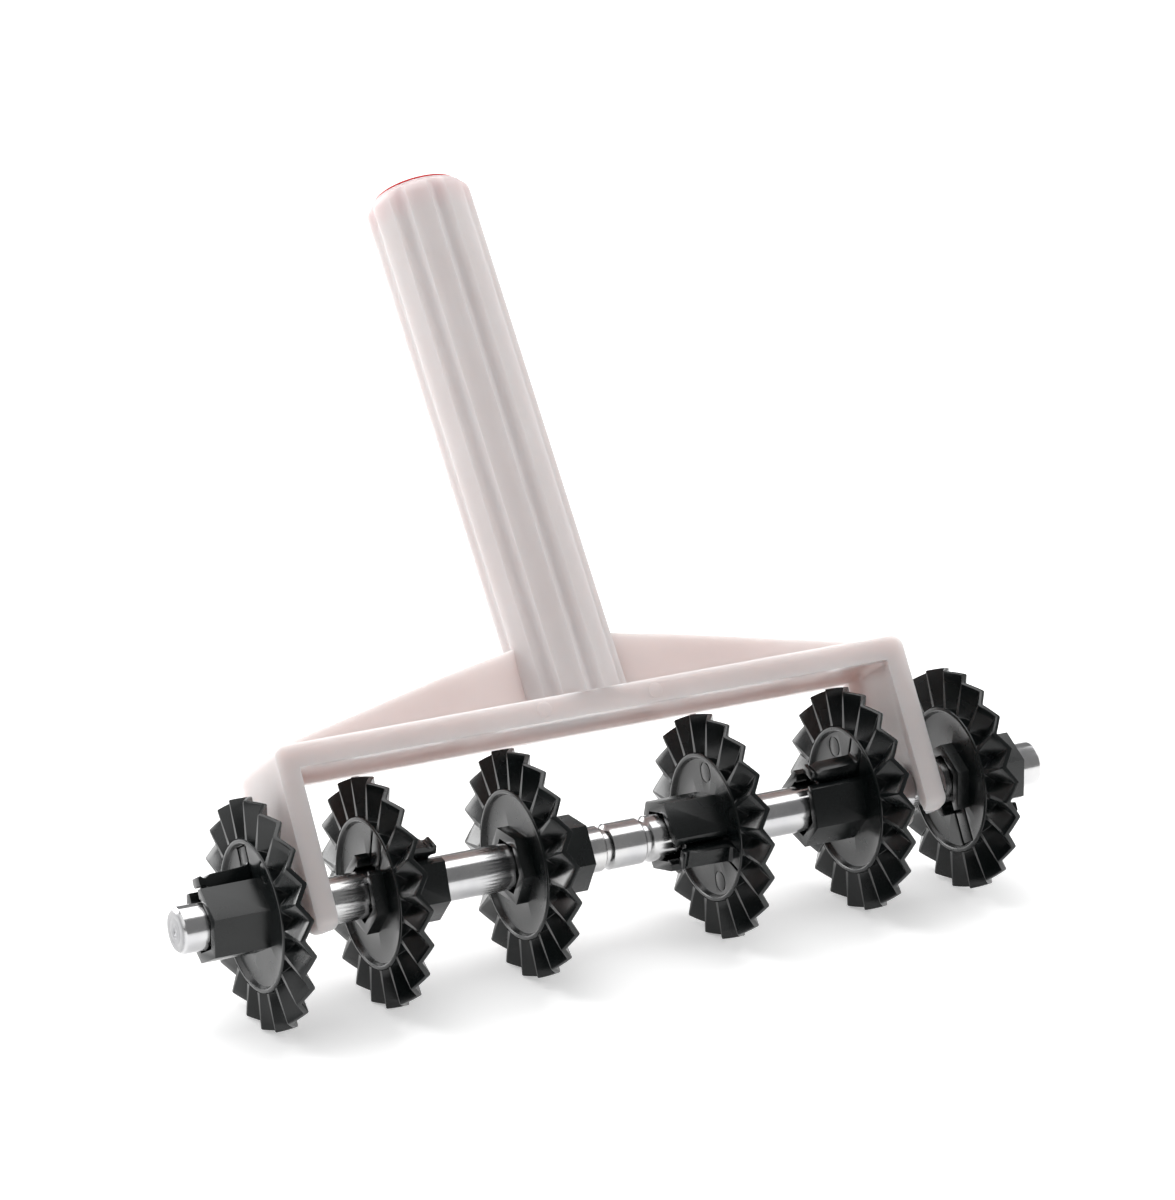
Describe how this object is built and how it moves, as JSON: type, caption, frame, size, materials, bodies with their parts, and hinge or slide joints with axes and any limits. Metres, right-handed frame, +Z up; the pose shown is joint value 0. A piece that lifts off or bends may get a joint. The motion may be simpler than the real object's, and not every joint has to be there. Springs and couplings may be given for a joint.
{
  "type": "core aerator",
  "caption": "Hand roller for working soil: toothed plastic discs turn on a steel axle held in a snap-in fork with a fluted tube handle.",
  "frame": {"origin": "centre of the bounding box in plan, on the ground plane under the discs", "axes": "+X along the axle, +Y the way the handle leans back, +Z up"},
  "size_m": [0.246, 0.1514, 0.1811],
  "materials": {
    "white_plastic": "satin, slightly translucent, faint warm pink tint",
    "red_plastic": "glossy",
    "polished_steel": "ground and polished bar",
    "black_plastic": "satin black",
    "latch_plastic": "satin black, same moulding as the disc"
  },
  "bodies": {
    "handle": {"handle_fork": "white_plastic", "end_plug": "red_plastic"},
    "axle": {"axle": "polished_steel"},
    "wheel_1": {"wheel_1": "black_plastic"},
    "latch_1": {"latch_finger_1": "latch_plastic"},
    "wheel_2": {"wheel_2": "black_plastic"},
    "latch_2": {"latch_finger_2": "latch_plastic"},
    "wheel_3": {"wheel_3": "black_plastic"},
    "latch_3": {"latch_finger_3": "latch_plastic"},
    "wheel_4": {"wheel_4": "black_plastic"},
    "latch_4": {"latch_finger_4": "latch_plastic"},
    "wheel_5": {"wheel_5": "black_plastic"},
    "latch_5": {"latch_finger_5": "latch_plastic"},
    "wheel_6": {"wheel_6": "black_plastic"},
    "latch_6": {"latch_finger_6": "latch_plastic"}
  },
  "joints": [
    {"name": "axle_spin", "type": "hinge", "parent": "handle", "child": "axle", "pos_m": [0, -0.04647, 0.0292], "axis": [1, 0, 0], "continuous": true},
    {"name": "wheel_1_spin", "type": "hinge", "parent": "axle", "child": "wheel_1", "pos_m": [-0.1002, -0.04647, 0.0292], "axis": [1, 0, 0], "continuous": true},
    {"name": "latch_1_flex", "type": "hinge", "parent": "wheel_1", "child": "latch_1", "pos_m": [-0.1002, -0.03822, 0.0444], "axis": [0, 0.8788, -0.4772], "range_deg": [0, 6], "stiffness_Nm_per_rad": 0.5},
    {"name": "wheel_2_spin", "type": "hinge", "parent": "axle", "child": "wheel_2", "pos_m": [-0.0686, -0.04647, 0.0292], "axis": [1, 0, 0], "continuous": true},
    {"name": "latch_2_flex", "type": "hinge", "parent": "wheel_2", "child": "latch_2", "pos_m": [-0.0686, -0.04962, 0.04621], "axis": [0, -0.9833, -0.1822], "range_deg": [0, 6], "stiffness_Nm_per_rad": 0.5},
    {"name": "wheel_3_spin", "type": "hinge", "parent": "axle", "child": "wheel_3", "pos_m": [-0.028, -0.04647, 0.0292], "axis": [1, 0, 0], "continuous": true},
    {"name": "latch_3_flex", "type": "hinge", "parent": "wheel_3", "child": "latch_3", "pos_m": [-0.028, -0.03188, 0.0199], "axis": [0, 0.5373, 0.8434], "range_deg": [0, 6], "stiffness_Nm_per_rad": 0.5},
    {"name": "wheel_4_spin", "type": "hinge", "parent": "axle", "child": "wheel_4", "pos_m": [0.0269, -0.04647, 0.0292], "axis": [1, 0, 0], "continuous": true},
    {"name": "latch_4_flex", "type": "hinge", "parent": "wheel_4", "child": "latch_4", "pos_m": [0.0269, -0.06318, 0.02472], "axis": [0, -0.2588, 0.9659], "range_deg": [0, 6], "stiffness_Nm_per_rad": 0.5},
    {"name": "wheel_5_spin", "type": "hinge", "parent": "axle", "child": "wheel_5", "pos_m": [0.0682, -0.04647, 0.0292], "axis": [1, 0, 0], "continuous": true},
    {"name": "latch_5_flex", "type": "hinge", "parent": "wheel_5", "child": "latch_5", "pos_m": [0.0682, -0.04977, 0.04618], "axis": [0, 0.9816, 0.1908], "range_deg": [0, 6], "stiffness_Nm_per_rad": 0.5},
    {"name": "wheel_6_spin", "type": "hinge", "parent": "axle", "child": "wheel_6", "pos_m": [0.0994, -0.04647, 0.0292], "axis": [1, 0, 0], "continuous": true},
    {"name": "latch_6_flex", "type": "hinge", "parent": "wheel_6", "child": "latch_6", "pos_m": [0.0994, -0.05551, 0.01445], "axis": [0, 0.8526, -0.5225], "range_deg": [0, 6], "stiffness_Nm_per_rad": 0.5}
  ]
}
